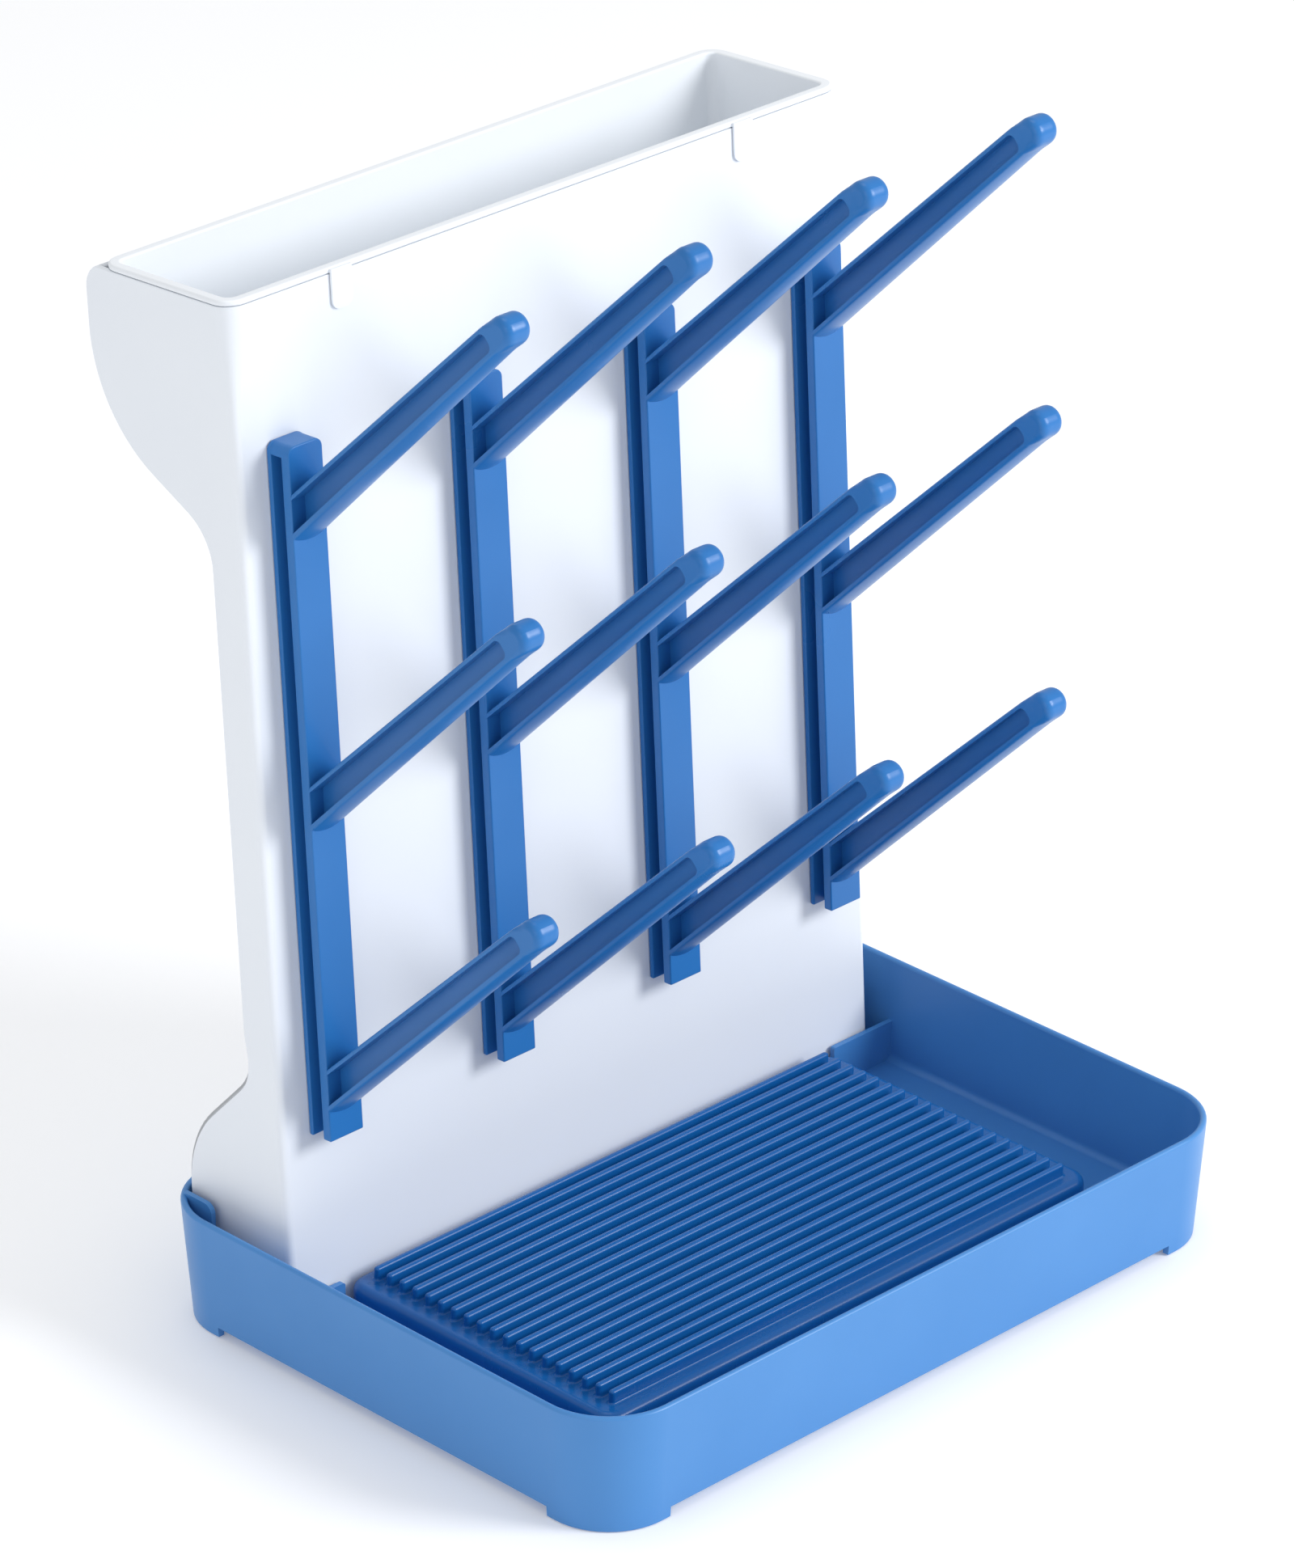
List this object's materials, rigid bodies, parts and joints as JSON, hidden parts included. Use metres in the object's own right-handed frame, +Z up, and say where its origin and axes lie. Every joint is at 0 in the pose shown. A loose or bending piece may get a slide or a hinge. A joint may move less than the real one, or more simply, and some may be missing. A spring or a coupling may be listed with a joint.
{
  "type": "bottle drying rack",
  "caption": "Countertop drying rack with upswept bottle pegs on a leaning tower, a ribbed drip tray and a lift-out bin for small parts.",
  "frame": {"origin": "on the floor, under the middle of the rack's outline", "axes": "+X to the right along the tray's long side, -Y towards the front where the pegs point, +Y to the rear, +Z up"},
  "size_m": [0.328, 0.2724, 0.431],
  "materials": {
    "tray_blue": "satin",
    "insert_blue": "satin",
    "rail_blue": "satin",
    "shell_white": "satin",
    "bin_white": "satin",
    "screw_steel": "brushed",
    "pad_rubber": "matte"
  },
  "bodies": {
    "base": {"base_tray": "tray_blue", "foot_pad_1": "pad_rubber", "foot_pad_2": "pad_rubber", "foot_pad_3": "pad_rubber", "foot_pad_4": "pad_rubber"},
    "insert": {"drip_insert": "insert_blue"},
    "tower": {"tower_front_shell": "shell_white", "tower_back_cover": "shell_white", "cover_screws": "screw_steel"},
    "bin": {"top_bin": "bin_white"},
    "rail_1": {"peg_rail_1": "rail_blue"},
    "rail_2": {"peg_rail_2": "rail_blue"},
    "rail_3": {"peg_rail_3": "rail_blue"},
    "rail_4": {"peg_rail_4": "rail_blue"}
  },
  "joints": [
    {"name": "insert_lift", "type": "slide", "parent": "base", "child": "insert", "axis": [0, 0, 1], "range_m": [0, 0.04]},
    {"name": "tower_lift", "type": "slide", "parent": "base", "child": "tower", "axis": [0, 0.055, 0.9985], "range_m": [0, 0.06]},
    {"name": "bin_lift", "type": "slide", "parent": "tower", "child": "bin", "axis": [0, 0.055, 0.9985], "range_m": [0, 0.07]},
    {"name": "rail_1_lift", "type": "slide", "parent": "tower", "child": "rail_1", "axis": [0, 0.055, 0.9985], "range_m": [0, 0.007]},
    {"name": "rail_2_lift", "type": "slide", "parent": "tower", "child": "rail_2", "axis": [0, 0.055, 0.9985], "range_m": [0, 0.007]},
    {"name": "rail_3_lift", "type": "slide", "parent": "tower", "child": "rail_3", "axis": [0, 0.055, 0.9985], "range_m": [0, 0.007]},
    {"name": "rail_4_lift", "type": "slide", "parent": "tower", "child": "rail_4", "axis": [0, 0.055, 0.9985], "range_m": [0, 0.007]}
  ]
}
